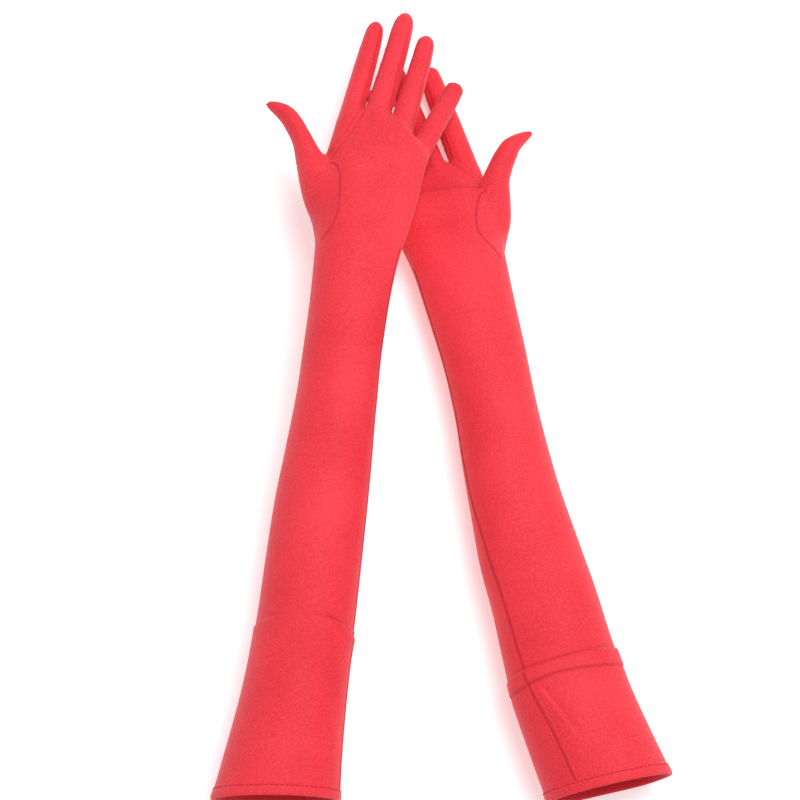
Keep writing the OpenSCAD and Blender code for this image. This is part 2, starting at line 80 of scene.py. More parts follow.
# Places are (x, y) or (x, y, z). A yaw leans a stretch sideways, and a pitch raises its far end.
# wrist, wrist_z    the wrist in the part's frame before mirroring, and the height of its back
# hem_skew          how far the hem runs off square, for each millimetre across
# palm_end_gather   how much shorter the gathered palm is
# finger_x, _w      each finger's place across the hand, and its width
# finger_z          height of the fingers' backs over the back of the hand
# finger_drop       how far the fingers dip
# tip_share         length of each rounded fingertip, as a share of half the finger's width
# taper             how much of the usual narrowing each finger has
# index_back        how far the index finger runs back into the palm
# flat              width and length in metres of each cut piece, before it is stretched over the arm
# thumb             rows of y along it, centre, half width, height, back
# upper, forearm, hand   rows of y from the elbow or the wrist, centre, half width, height
GLOVES = {
    "left": dict(
        mirror=1, wrist=(-53.5, 92), wrist_z=41,
        upper_yaw=8, forearm_yaw=7.7, hand_yaw=10, hand_pitch=-3,
        forearm_l=254, hem_skew=0.125, palm_end_gather=0,
        thumb_at=(-23.0, 32.5, 2), thumb_yaw=42, thumb_pitch=4,
        finger_x=(-23.2, -5.2, 12.9, 29.2), finger_w=(16.4, 18.3, 17.2, 15.0),
        finger_yaw=(2.5, 3.2, 3.4, 15), finger_drop=6, finger_z=2,
        tip_share=(1.1, 1.2, 1.0, 0.7), taper=(1, 1, 1, 0.5), index_back=40,
        flat=dict(sleeve_cloth=(0.165, 0.268), forearm_hand_cloth=(0.15, 0.24),
                  thumb_cloth=(0.062, 0.09),
                  index_finger_cloth=(0.042, 0.08), middle_finger_cloth=(0.044, 0.085),
                  ring_finger_cloth=(0.043, 0.076), little_finger_cloth=(0.039, 0.058)),
        thumb=[(-24, -7.5, 20.5, 27, 0), (-9, -4.6, 18.9, 27, 0), (6, -3.2, 17.3, 25, 0.6),
               (20, -2.8, 13, 22, 1.2), (35, -0.2, 9.3, 18.5, 2.2), (50, 3.2, 7.0, 16.5, 2.9),
               (64, 4.3, 6.5, 15, 3.4), (75, 2.2, 5.6, 12.5, 4.6), (81, -0.6, 4.0, 8.5, 5.6),
               (85.5, -3.4, 1.7, 4, 7)],
        upper=[(-119, 0, 40, 64), (-90, 0.4, 37.0, 62.5), (-50, 1.2, 33.6, 60.5), (-10, 1.2, 31.8, 58.5)],
        forearm=[(-218, 0.6, 31.2, 56), (-180, 0.2, 30.4, 53), (-145, 0.5, 28.6, 51),
                 (-112, 0.5, 26.9, 48.5), (-70, -0.2, 26.1, 45.5), (-42, -0.2, 26.5, 43.5)],
        hand=[(-8, 0.6, 28.6, 40.5), (20, 0.2, 32.2, 36), (40, 0.6, 33.2, 33), (61, 1.2, 33.4, 32),
              (84, 2.4, 33.3, 26), (98, 2.9, 33.0, 21)],
    ),
    "right": dict(
        mirror=-1, wrist=(-14.5, 96), wrist_z=0,
        upper_yaw=19.5, forearm_yaw=12.8, hand_yaw=16, hand_pitch=0,
        forearm_l=297, hem_skew=0, palm_end_gather=27,
        thumb_at=(-26.2, 28, 5), thumb_yaw=45, thumb_pitch=20,
        finger_x=(-26.1, -4.8, 12.9, 29.2), finger_w=(18.4, 17.2, 16.2, 14.8),
        finger_yaw=(2.8, 4, 6, 12), finger_drop=0, finger_z=0.5,
        tip_share=(0.55, 1, 1, 1), taper=(0.8, 1, 1, 1), index_back=22,
        flat=dict(sleeve_cloth=(0.165, 0.252), forearm_hand_cloth=(0.15, 0.245),
                  thumb_cloth=(0.06, 0.075),
                  index_finger_cloth=(0.044, 0.08), middle_finger_cloth=(0.044, 0.085),
                  ring_finger_cloth=(0.043, 0.076), little_finger_cloth=(0.039, 0.058)),
        thumb=[(-24, -8.5, 20.5, 24, 0), (-6, -6.0, 18.2, 24, 0), (9, -3.4, 16.8, 23, 0.6),
               (23.4, -0.2, 12.2, 20.5, 1.4), (34, 2.9, 9.1, 18.5, 2.2), (42.6, 4.1, 8.2, 17, 2.8),
               (54.3, 4.4, 6.9, 15.5, 3.0), (63.3, 1.2, 5.2, 12, 3.6), (68, -1.6, 3.5, 8, 4.2),
               (72, -4.6, 1.5, 4, 5)],
        upper=[(-78, 0, 40.2, 64), (-45, 1.0, 38.8, 61.5), (-12, 1.2, 37.2, 58.8)],
        forearm=[(-280, 1.0, 35.6, 57.5), (-250, 1.3, 34.5, 56), (-215, 3.0, 33.4, 54.5),
                 (-180, 3.2, 30.9, 52), (-145, 2.4, 29.2, 50), (-110, 0.6, 28.0, 48),
                 (-70, -0.7, 28.8, 45.5), (-35, -0.4, 30.5, 43)],
        hand=[(0, 0, 32.8, 40), (25, 0, 35.5, 33.5), (44, 1, 35.5, 33), (58, 1.5, 35.6, 25.5),
              (71, 1.9, 35.6, 19)],
    ),
}
FINGER_L = (80, 87.5, 79, 60)
FINGER_H = (16.5, 16.5, 16, 14)
FINGER_Y = (98, 102, 94, 80)         # where each finger starts, from the wrist
FINGER_BACK = 14                     # how far a finger other than the index runs back into the palm
# a finger's shape, at these shares of its length
FINGER_SHARES = np.array([-0.15, 0, 0.3, 0.55, 0.75, 0.88, 1])
FINGER_NARROW = np.array([0, 0, 0.03, 0.07, 0.13, 0.21, 0.34])   # width lost
FINGER_TOP = (0.99, 0.92, 0.86, 0.78, 0.68)   # height from the third share on
FINGER_BOTTOM = (0, 0, 0, 0.02, 0.05, 0.1, 0.16)
ROOT_RISE = (1.06, 1.14, 1.14, 1.04)   # height of each finger where it leaves the palm
ROOT_SWELL = 1.06                      # and how much higher it is a little way back into the palm
THUMB_TIP = 3       # length of the rounded end of a thumb
THUMB_BACK = 26     # how far the thumb's ball runs back from the thumb's base
MID_SHARE = 0.47    # height of the widest line, as a share of a section's height
FLAT_SHARE = 0.85   # how far down the round underside goes before it lies flat

# ---- How the cloth is cut into pieces ----------------------------------------------------------
FINGER_CUT = (7, 5, 5, 4)   # how far along each finger its own piece starts
SPLIT_SHARE = 0.59          # where along the forearm the sleeve's two pieces meet
SLIT = 1.8                  # gap between two fingers that touch
SLIT_SLANT = 3              # how far that gap leans over from a finger's back to its front
SLIT_MIDDLE = 10            # height above the back of the hand where that lean is half done
THUMB_EDGE = 2              # how far outside the thumb's base that edge is

# ---- Fineness -----------------------------------------------------------------------------------
CELL = 1.7                  # size of a grid cell
GRID_ACROSS = (-95.0, 75.0)
GRID_TOP = 92.0
GRID_TIP = 212.0            # how far past the wrist the grid runs, on a palm that isn't gathered
CLOTH = 0.7                 # thickness of the knit
OUTER_REST = 0.02           # least height of the cloth's outside over the floor
INNER_REST = 0.3            # and of its inside


# ---- Signed distance shapes -------------------------------------------------------------------
def smooth_min(a, b, k):
    h = np.clip(0.5 + 0.5 * (b - a) / k, 0, 1)
    return b * (1 - h) + a * h - k * h * (1 - h)


def smooth_max(a, b, k):
    return -smooth_min(-a, -b, k)


def hermite(stations, values, at):
    """Smooth curve through the values at the stations, held constant outside them."""
    s, y = np.asarray(stations, float), np.asarray(values, float)
    slope = np.gradient(y, s)
    secant = np.diff(y) / np.diff(s)
    for i in range(1, len(s) - 1):
        if secant[i - 1] * secant[i] <= 0:
            slope[i] = 0
    at = np.clip(at, s[0], s[-1])
    i = np.clip(np.searchsorted(s, at) - 1, 0, len(s) - 2)
    step = s[i + 1] - s[i]
    t = (at - s[i]) / step
    return ((2 * t**3 - 3 * t**2 + 1) * y[i] + (t**3 - 2 * t**2 + t) * step * slope[i]
            + (3 * t**2 - 2 * t**3) * y[i + 1] + (t**3 - t**2) * step * slope[i + 1])


def round_distance(parts):
    """Distance to a round body, from a list of (offset, half size) along its axes."""
    r = np.sqrt(np.maximum(sum((d / s) ** 2 for d, s in parts), 1e-9))
    steep = np.sqrt(sum((d / s / s) ** 2 for d, s in parts)) / r
    return (r - 1) / np.maximum(steep, 0.02)


def section_distance(x, z, centre, half_w, height, back, end=None):
    """Distance to a tube whose section is round on top and flat underneath."""
    mid = back + MID_SHARE * height
    dz = z - mid
    half_h = np.where(dz > 0, (1 - MID_SHARE) * height, MID_SHARE / FLAT_SHARE * height)
    parts = [(x - centre, half_w), (dz, half_h)]
    if end is not None:
        parts.append(end)
    return smooth_max(round_distance(parts), back - z, 4)


def turned(a, b, angle):
    """The coordinates (a across, b along) in a frame whose along axis leans by the angle."""
    c, s = math.cos(math.radians(angle)), math.sin(math.radians(angle))
    return a * c - b * s, a * s + b * c


def to_hand(g, u, v, z):
    x, y = turned(v, u, g["hand_yaw"] - g["forearm_yaw"])
    z, y = turned(z - g["wrist_z"], y, g["hand_pitch"])
    return x, y, z


def from_hand(g, x, y, z):
    z, y = turned(np.asarray(z, float), np.asarray(y, float), -g["hand_pitch"])
    v, u = turned(np.asarray(x, float), y, g["forearm_yaw"] - g["hand_yaw"])
    return np.stack([u, v, z + g["wrist_z"]], -1)


def finger_base(g, i):
    return g["finger_x"][i], FINGER_Y[i] - g["palm_end_gather"] + 1.2, g["finger_z"]


def to_finger(g, i, x, y, z):
    bx, by, bz = finger_base(g, i)
    x, y = turned(x - bx, y - by, g["finger_yaw"][i])
    z, y = turned(z - bz, y, -g["finger_drop"])
    return x, y, z


def from_finger(g, i, x, y, z):
    bx, by, bz = finger_base(g, i)
    z, y = turned(np.asarray(z, float), np.asarray(y, float), g["finger_drop"])
    x, y = turned(np.asarray(x, float), y, -g["finger_yaw"][i])
    return from_hand(g, x + bx, y + by, z + bz)


def to_thumb(g, x, y, z):
    tx, ty, tz = g["thumb_at"]
    x, y = turned(x - tx, y - ty, -g["thumb_yaw"])
    z, y = turned(z - tz, y, g["thumb_pitch"])
    return x, y, z


def spine(g):
    """Rows of (u, centre v, half width, height, back z) from the hem to the knuckles."""
    pitch = math.asin(g["wrist_z"] / g["forearm_l"])
    elbow_u = -g["forearm_l"] * math.cos(pitch)
    lean = math.radians(g["upper_yaw"] - g["forearm_yaw"])
    rows = []
    for y, x, w, h in g["upper"]:
        rows.append((elbow_u + y * math.cos(lean), y * math.sin(lean) + x, w, h, 0))
    for y, x, w, h in g["forearm"]:
        rows.append((y * math.cos(pitch), x, w, h, g["wrist_z"] + y * math.sin(pitch)))
    for y, x, w, h in g["hand"]:
        u, v, z = from_hand(g, x, y, 0)
        rows.append((float(u), float(v), w, h, float(z)))
    return rows


def thumb_distance(g, x, y, z):
    """Distance to the thumb and its ball."""
    tx, ty, tz = to_thumb(g, x, y, z)
    rows = np.array(g["thumb"])
    thumb = section_distance(tx, tz, *(hermite(rows[:, 0], rows[:, k], ty) for k in (1, 2, 3, 4)),
                             end=(np.maximum(ty - rows[-1, 0] + THUMB_TIP, 0), THUMB_TIP))
    return smooth_max(thumb, -THUMB_BACK - ty, 6)


def finger_distance(g, i, x, y, z):
    """Distance to one finger, with the stretch of it that runs back into the palm."""
    fx, fy, fz = to_finger(g, i, x, y, z)
    length, w, h = FINGER_L[i], g["finger_w"][i] / 2, FINGER_H[i]
    stations = FINGER_SHARES * length
    root = [ROOT_RISE[i] * ROOT_SWELL * h, ROOT_RISE[i] * h]
    half = hermite(stations, w * (1 - g["taper"][i] * FINGER_NARROW), fy)
    high = hermite(stations, root + [share * h for share in FINGER_TOP], fy)
    low = hermite(stations, [share * h for share in FINGER_BOTTOM], fy)
    tip = g["tip_share"][i] * w
    finger = section_distance(fx, fz, 0, half, high, low, end=(np.maximum(fy - length + tip, 0), tip))
    return smooth_max(finger, -(g["index_back"] if i == 0 else FINGER_BACK) - fy, 4)


def glove_distance(g, u, v, z):
    """Distance to the gloved arm and hand."""
    rows = np.array(spine(g))
    line = u[:, :1, :1]
    centre, half_w, height, back = (hermite(rows[:, 0], rows[:, k], line) for k in (1, 2, 3, 4))
    whole = section_distance(v, z, centre, half_w, height, back)
    first = int(np.searchsorted(u[:, 0, 0], -40))
    u, v, z = (a[first:] for a in np.broadcast_arrays(u, v, z))
    x, y, zh = to_hand(g, u, v, z)
    xs = [g["finger_x"][0] - 12, *g["finger_x"], g["finger_x"][3] + 12]
    ends = [FINGER_Y[i] - g["palm_end_gather"] for i in range(4)]
    end_line = hermite(xs, [ends[0] - 4, *ends, ends[3] - 8], x)
    hand = smooth_max(whole[first:], (y - end_line) * 0.9, 7)
    hand = smooth_min(hand, thumb_distance(g, x, y, zh), 5.5)
    alone = [finger_distance(g, i, x, y, zh) for i in range(4)]
    # neighbours that touch keep a thin slanted slit between them, so that each finger is a surface of its
    # own
    slant = np.clip(zh - SLIT_MIDDLE, -SLIT_SLANT, SLIT_SLANT)
    for i in range(3):
        between = alone[i] - alone[i + 1] + slant
        alone[i], alone[i + 1] = (np.maximum(alone[i], (between + SLIT) / 2),
                                  np.maximum(alone[i + 1], (SLIT - between) / 2))
    fingers = np.minimum(np.minimum(alone[0], alone[1]), np.minimum(alone[2], alone[3]))
    hand = smooth_min(hand, fingers, 4)
    whole = whole.copy()
    whole[first:] = hand
    return smooth_max(whole, -z if z.shape == whole.shape else -np.broadcast_to(z[:1], whole.shape), 1.5)


# ---- Mesh tools ---------------------------------------------------------------------------------
def surface_nets(f, low, cell):
    """Quad mesh of the zero surface of a grid of distances, negative inside."""
    inside = f < 0
    size = np.array(f.shape)
    count = np.zeros(size - 1, np.int8)
    corners = [(i, j, k) for i in (0, 1) for j in (0, 1) for k in (0, 1)]
    for i, j, k in corners:
        count += inside[i:size[0] - 1 + i, j:size[1] - 1 + j, k:size[2] - 1 + k]
    cells = np.argwhere((count > 0) & (count < 8))
    index = np.full(size - 1, -1)
    index[tuple(cells.T)] = np.arange(len(cells))
    total, hits = np.zeros((len(cells), 3)), np.zeros(len(cells))
    for corner in corners:
        for axis in range(3):
            if corner[axis]:
                continue
            a = cells + corner
            b = a.copy()
            b[:, axis] += 1
            fa, fb = f[tuple(a.T)], f[tuple(b.T)]
            cross = (fa < 0) != (fb < 0)
            p = np.repeat(np.array([corner], float), len(cells), 0)
            p[cross, axis] += fa[cross] / (fa[cross] - fb[cross])
            total[cross] += p[cross]
            hits[cross] += 1
    verts = (cells + total / hits[:, None]) * cell + low
    quads = []
    for axis in range(3):
        b, c = (axis + 1) % 3, (axis + 2) % 3
        one = [slice(None)] * 3
        two = [slice(None)] * 3
        one[axis], two[axis] = slice(0, -1), slice(1, None)
        s0, s1 = inside[tuple(one)], inside[tuple(two)]
        at = np.argwhere(s0 != s1)
        at = at[(at[:, b] > 0) & (at[:, c] > 0) & (at[:, b] < size[b] - 1) & (at[:, c] < size[c] - 1)]
        starts_inside = s0[tuple(at.T)]
        ring = []
        for db, dc in ((1, 1), (0, 1), (0, 0), (1, 0)):
            q = at.copy()
            q[:, b] -= db
            q[:, c] -= dc
            ring.append(index[tuple(q.T)])
        quad = np.stack(ring, 1)
        quad[~starts_inside] = quad[~starts_inside][:, ::-1]
        quads.append(quad)
    return verts, np.concatenate(quads)


def edges_of(quads):
    """Unique edges, and for each quad the numbers of its four edges."""
    pairs = np.stack([quads, np.roll(quads, -1, 1)], -1).reshape(-1, 2)
    unique, back, uses = np.unique(np.sort(pairs, 1), axis=0, return_inverse=True, return_counts=True)
    return unique, back.reshape(-1, 4), uses


def smooth(verts, quads, rounds, amount=0.5, keep=None):
    """Laplacian rounds with the shrinking taken back. Vertices in keep don't move."""
    edges, _, _ = edges_of(quads)
    n = len(verts)
    degree = np.bincount(edges.ravel(), minlength=n)[:, None]
    for i in range(2 * rounds):
        total = np.stack([
            np.bincount(edges[:, 0], verts[edges[:, 1], k], n)
            + np.bincount(edges[:, 1], verts[edges[:, 0], k], n) for k in range(3)], 1)
        move = total / np.maximum(degree, 1) - verts
        if keep is not None:
            move[keep] = 0
        verts = verts + (amount if i % 2 == 0 else -amount * 1.04) * move
    return verts


def subdivide(verts, quads):
    """Every quad in four, in the coarse order. Also gives the coarse edges and count of points."""
    edges, of_quad, _ = edges_of(quads)
    n, e = len(verts), len(edges)
    middle = verts[edges].mean(1)
    centre = verts[quads].mean(1)
    fine = np.concatenate([verts, middle, centre])
    mid, cen = of_quad + n, np.arange(len(quads)) + n + e
    new = [np.stack([quads[:, k], mid[:, k], cen, mid[:, k - 1]], 1) for k in range(4)]
    return fine, np.stack(new, 1).reshape(-1, 4), edges, n


def vertex_normals(verts, quads):
    a, b, c, d = (verts[quads[:, k]] for k in range(4))
    face = np.cross(c - a, d - b)
    total = np.zeros_like(verts)
    for k in range(4):
        for axis in range(3):
            total[:, axis] += np.bincount(quads[:, k], face[:, axis], len(verts))
    return total / np.maximum(np.linalg.norm(total, axis=1, keepdims=True), 1e-12)


def to_part(g, points):
    """From the glove's own space to the part's frame, in metres."""
    c, s = math.cos(math.radians(g["forearm_yaw"])), math.sin(math.radians(g["forearm_yaw"]))
    u, v, z = np.asarray(points, float).T
    x = g["wrist"][0] + u * s + v * c
    y = g["wrist"][1] + u * c - v * s
    return np.stack([x * g["mirror"], y, z], 1) * MM


def directions_to_part(g, vectors):
    origin = to_part(g, np.zeros((1, 3)))
    return (to_part(g, vectors) - origin) / MM


# ---- Materials ----------------------------------------------------------------------------------
PAINTED_SHADE_COLOUR = (0.50, 0.016, 0.034, 1)   # painted shade: the knit's colour where shade falls, in a seam, under a fold, between fingers and inside the cloth
SHEEN = (1.0, 0.62, 0.66, 1)
# how many of each fit in a metre, about
TONE_SCALE, GRAIN_SCALE, LOOP_SCALE = 18, 900, 1250
GRAIN_SHARE = 0.6                # of the change in colour; slow tone makes the rest
RAMP_SPAN = (0.36, 0.64)         # from dark to light


def knit_material(name, light, dark, roughness, bump_height):
    """Fine stretch knit: grain and rows of loops, slow changes of tone, and painted shade from a vertex
    attribute that darkens seams, folds and crevices.
    """
    material = bpy.data.materials.new(name)
    material.use_nodes = True
    nodes, links = material.node_tree.nodes, material.node_tree.links
    nodes.clear()
    shader = nodes.new("ShaderNodeBsdfPrincipled")
    links.new(shader.outputs[0], nodes.new("ShaderNodeOutputMaterial").inputs[0])
    shader.inputs["Roughness"].default_value = roughness
    shader.inputs["Specular IOR Level"].default_value = 0.22
    shader.inputs["Sheen Weight"].default_value = 0.20
    shader.inputs["Sheen Roughness"].default_value = 0.40
    shader.inputs["Sheen Tint"].default_value = SHEEN
    place = nodes.new("ShaderNodeTexCoord")

    def noise(scale, detail):
        node = nodes.new("ShaderNodeTexNoise")
        node.inputs["Scale"].default_value = scale
        node.inputs["Detail"].default_value = detail
        links.new(place.outputs["Object"], node.inputs["Vector"])
        return node.outputs["Fac"]

    def math_node(operation, a, b):
        node = nodes.new("ShaderNodeMath")
        node.operation = operation
        for socket, value in zip(node.inputs, (a, b)):
            if isinstance(value, (int, float)):
                socket.default_value = value
            else:
                links.new(value, socket)
        return node.outputs[0]

    tone, grain = noise(TONE_SCALE, 3), noise(GRAIN_SCALE, 2)
    loops = nodes.new("ShaderNodeTexVoronoi")
    loops.inputs["Scale"].default_value = LOOP_SCALE
    links.new(place.outputs["Object"], loops.inputs["Vector"])
    blend = math_node("ADD", math_node("MULTIPLY", tone, 1 - GRAIN_SHARE),
                      math_node("MULTIPLY", grain, GRAIN_SHARE))
    ramp = nodes.new("ShaderNodeValToRGB")
    for element, position, colour in zip(ramp.color_ramp.elements, RAMP_SPAN, (dark, light)):
        element.position = position
        element.color = (*colour, 1)
    links.new(blend, ramp.inputs[0])
    # painted shade: a vertex attribute mixes the knit towards a dark red where shade falls
    painted_shade = nodes.new("ShaderNodeAttribute")
    painted_shade.attribute_name = "painted_shade"
    mix = nodes.new("ShaderNodeMix")
    mix.data_type = "RGBA"
    colour_inputs = [i for i in mix.inputs if i.type == "RGBA"]
    links.new(painted_shade.outputs["Fac"], mix.inputs[0])
    links.new(ramp.outputs[0], colour_inputs[0])
    colour_inputs[1].default_value = PAINTED_SHADE_COLOUR
    links.new([o for o in mix.outputs if o.type == "RGBA"][0], shader.inputs["Base Color"])
    bump = nodes.new("ShaderNodeBump")
    bump.inputs["Strength"].default_value = 0.4
    bump.inputs["Distance"].default_value = bump_height
    height = math_node("ADD", grain, math_node("MULTIPLY", loops.outputs["Distance"], 0.8))
    links.new(height, bump.inputs["Height"])
    links.new(bump.outputs[0], shader.inputs["Normal"])
    return material


KNIT = knit_material("red_knit", (0.90, 0.050, 0.074), (0.72, 0.024, 0.038), 0.60, 0.0006)
THREAD = knit_material("seam_thread", (0.64, 0.024, 0.044), (0.54, 0.018, 0.034), 0.50, 0.0002)


# ---- Meshes of pieces ---------------------------------------------------------------------------
def make_object(g, name, points, faces, normals=None, painted_shade=None, material=None):
    """A piece from points in the glove's own space and a list of arrays of faces."""
    if g["mirror"] > 0:   # the glove's own space is left-handed
        faces = [f[:, ::-1] for f in faces]
    mesh = bpy.data.meshes.new(name)
    loops = np.concatenate([f.ravel() for f in faces])
    sizes = np.concatenate([np.full(len(f), f.shape[1]) for f in faces])
    mesh.vertices.add(len(points))
    mesh.vertices.foreach_set("co", to_part(g, points).astype(np.float32).ravel())
    mesh.loops.add(len(loops))
    mesh.loops.foreach_set("vertex_index", loops.astype(np.int32))
    mesh.polygons.add(len(sizes))
    mesh.polygons.foreach_set("loop_start", np.concatenate([[0], np.cumsum(sizes)[:-1]]).astype(np.int32))
    mesh.polygons.foreach_set("loop_total", sizes.astype(np.int32))
    mesh.update(calc_edges=True)
    mesh.polygons.foreach_set("use_smooth", np.ones(len(sizes), bool))
    # painted shade on each point, kept as a vertex attribute for the knit's material
    layer = mesh.attributes.new("painted_shade", "FLOAT", "POINT")
    darkness = np.zeros(len(points)) if painted_shade is None else painted_shade
    layer.data.foreach_set("value", darkness.astype(np.float32))
    if normals is not None:
        directions = directions_to_part(g, normals)
        mesh.normals_split_custom_set_from_vertices([tuple(n) for n in directions])
    mesh.materials.append(material or KNIT)
    obj = bpy.data.objects.new(name, mesh)
    bpy.context.scene.collection.objects.link(obj)
    return obj


def grid_mesh(g):
    """The whole glove as a coarse quad mesh, open at the hem."""
    hem_u = spine(g)[0][0]
    low = np.array([hem_u - 4.5 * CELL, GRID_ACROSS[0], -3 * CELL])
    high = np.array([GRID_TIP - g["palm_end_gather"], GRID_ACROSS[1], GRID_TOP])
    n = np.ceil((high - low) / CELL).astype(int) + 1
    u, v, z = (low[k] + CELL * np.arange(n[k]) for k in range(3))
    f = glove_distance(g, u[:, None, None], v[None, :, None], z[None, None, :])
    verts, quads = surface_nets(f, low, CELL)
    quads = quads[(verts[quads][:, :, 0] > hem_u - 0.3 * CELL).all(1)]
    used, quads = np.unique(quads, return_inverse=True)
    verts, quads = verts[used], quads.reshape(-1, 4)
    edges, _, uses = edges_of(quads)
    rim = np.unique(edges[uses == 1])
    verts = smooth(verts, quads, 6, keep=rim)
    verts[rim, 0] = hem_u
    return verts, quads


def tube(points, radii, sides=6):
    """Points and faces of a closed tube along a line of points."""
    points = np.asarray(points, float)
    along = np.gradient(points, axis=0)
    along /= np.linalg.norm(along, axis=1, keepdims=True)
    up = np.array([0.0, 0, 1]) - along * along[:, 2:3]
    up /= np.maximum(np.linalg.norm(up, axis=1, keepdims=True), 1e-6)
    side = np.cross(along, up)
    turn = 2 * np.pi * np.arange(sides) / sides
    rings = (points[:, None] + np.asarray(radii)[:, None, None]
             * (np.cos(turn)[None, :, None] * side[:, None] + np.sin(turn)[None, :, None] * up[:, None]))
    n = len(points)
    i, k = np.meshgrid(np.arange(n - 1), np.arange(sides), indexing="ij")
    i, k = i.ravel(), k.ravel()
    k1 = (k + 1) % sides
    walls = np.stack([i * sides + k, (i + 1) * sides + k, (i + 1) * sides + k1, i * sides + k1], 1)
    caps = np.stack([np.arange(sides), (n - 1) * sides + np.arange(sides)[::-1]])
    return rings.reshape(-1, 3), [walls, caps]


def resample(points, step):
    points = np.asarray(points, float)
    length = np.concatenate([[0], np.cumsum(np.linalg.norm(np.diff(points, axis=0), axis=1))])
    at = np.linspace(0, length[-1], max(int(length[-1] / step) + 1, 2))
    return np.stack([np.interp(at, length, points[:, k]) for k in range(3)], 1)


# ---- Folds and creases, and their painted shade -------------------------------------------------
def ease(x):
    x = np.clip(x, 0, 1)
    return x * x * (3 - 2 * x)


def lip(s, height, behind, drop, ahead):
    """A lap of cloth: rises towards s = 0 from below, and falls off sharply past it."""
    rise = height * np.exp(np.minimum(s, 0) / behind) * (1 - ease((s + 1.0) / 2.0))
    dip = -drop * np.exp(-np.maximum(s, 0) / ahead) * ease((s + 1.0) / 2.0)
    return rise + dip


def waves(points, seeds, size, amount):
    """Smooth, low waves in the cloth."""
    total = np.zeros(len(points))
    for direction, phase in seeds:
        total += np.sin(points @ direction / size + phase)
    return amount * total / len(seeds)


WAVE_SEEDS = [(RNG.normal(size=3), RNG.uniform(0, 2 * np.pi)) for _ in range(9)]


def shape_folds(g, side, p, n):
    """How far each point moves out along its normal, and how much painted shade it gets, for the shade in
    creases, under laps and between fingers.

    s is how far a point lies past a fold's line, towards the fingers or the little finger's side.
    """
    u, v, z = p.T
    x, y, zh = to_hand(g, u, v, z)
    up = ease((n[:, 2] + 0.3) / 0.8)
    out, painted_shade = np.zeros(len(p)), np.zeros(len(p))
    if side == "left":
        # two laps across the crook of the elbow, with painted shade under each
        s = u - np.interp(v, [-32, -12, 12, 34], [-263, -257, -255, -257])
        out += lip(s, 1.1, 16, 0.4, 5) * (0.35 + 0.65 * up)
        painted_shade += 0.35 * np.exp(-((s - 0.6) / 1.1) ** 2) * ease((np.abs(v) - 4) / 16) * up
        s = u - np.interp(v, [8, 34], [-249, -262])
        out += lip(s, 0.9, 9, 0.6, 3) * ease((v - 8) / 10)
        painted_shade += 0.5 * np.exp(-((s - 0.5) / 1.0) ** 2) * ease((v - 12) / 8) * up
    else:
        # a swollen band across the elbow, and a lap on the hem's side of it, with painted shade along both
        # edges
        upper = np.interp(v, [-31, -3, 28, 40], [-290, -291, -293, -296])
        lower = np.interp(v, [-32, 8, 26, 39], [-302, -300, -302, -306])
        band = ease((upper - u) / 2.4 + 0.5) * ease((u - lower) / 2.4 + 0.5)
        out += 1.9 * band * (0.4 + 0.6 * up)
        s = u - lower
        out += 1.3 * np.exp(np.minimum(s, 0) / 18) * ease(-s / 2.4 + 0.2) * (0.4 + 0.6 * up)
        painted_shade += 0.55 * up * (np.exp(-((u - upper - 0.8) / 1.2) ** 2) * 0.8 + np.exp(-((s + 0.2) / 1.1) ** 2))
        # a drag line from the elbow towards the hem
        s = v - np.interp(u, [-345, -306], [4, 20])
        along = ease((u + 350) / 20) * ease((-304 - u) / 6)
        out += lip(-s, 1.0, 8, 0.7, 3) * along * up
    # the palm: a hollow in the middle, pads at the thumb, the outer edge and under the fingers
    k = g["palm_end_gather"]
    for cx, cy, rx, ry, height in (
            (3, 50 - 0.4 * k, 13, 22, -2.3), (-17, 24, 12, 20, 1.4), (22, 26, 10, 24, 1.0),
            (-20, 90 - k, 8, 9, 0.9), (-3, 93 - k, 8, 9, 0.9), (13, 88 - k, 8, 9, 0.8),
            (26, 74 - k, 7, 9, 0.7)):
        out += height * np.exp(-((x - cx) / rx) ** 2 - ((y - cy) / ry) ** 2) * up * ease((u + 10) / 30)
    if side == "right":
        # the crease under the knuckles, past which the palm falls away, with painted shade along the crease
        # and over the fallen palm past it
        s = y - np.interp(x, [-30, -26, -8, 8, 34], [41, 43.3, 47.7, 50.6, 46])
        across = ease((x + 31) / 4) * up
        out += lip(s, 1.4, 9, 1.6, 5) * across
        painted_shade += 0.75 * np.exp(-((s - 0.8) / 1.3) ** 2) * across
        painted_shade += 0.30 * ease(s / 2) * np.exp(-np.maximum(s, 0) / 14) * across * ease((90 - y) / 10)
    # painted shade where two fingers lie side by side
    from_side = []
    for i in range(4):
        fx, fy, _ = to_finger(g, i, x, y, zh)
        from_side.append(np.abs(fx) - g["finger_w"][i] / 2)
        if i:
            gap = from_side[i - 1] - from_side[i]
            painted_shade += 0.5 * np.exp(-(gap / 1.5) ** 2) * ease((fy + 8) / 8) * (from_side[i] < 2.5) * (fy < 50)
    out += waves(p, WAVE_SEEDS, 34, 0.45)
    return out, np.clip(painted_shade, 0, 1)


# ---- Seams --------------------------------------------------------------------------------------
def cast(tree, start, direction):
    """Where a ray from inside the glove leaves its surface, and the surface's direction there."""
    place, normal, _, _ = tree.ray_cast(Vector(start), Vector(direction))
    return None if place is None else (np.array(place), np.array(normal))


def draped(g, tree, points):
    """Points of the hand (x, y) laid on the palm side of the surface."""
    dense = resample([(x, y, 0) for x, y in points], 0.7)
    found = []
    for x, y, _ in dense:
        u, v, _ = from_hand(g, x, y, 30)
        hit = cast(tree, (u, v, 200), (0, 0, -1))
        if hit:
            found.append(hit[0] - 0.2 * hit[1])
    return np.array(found)


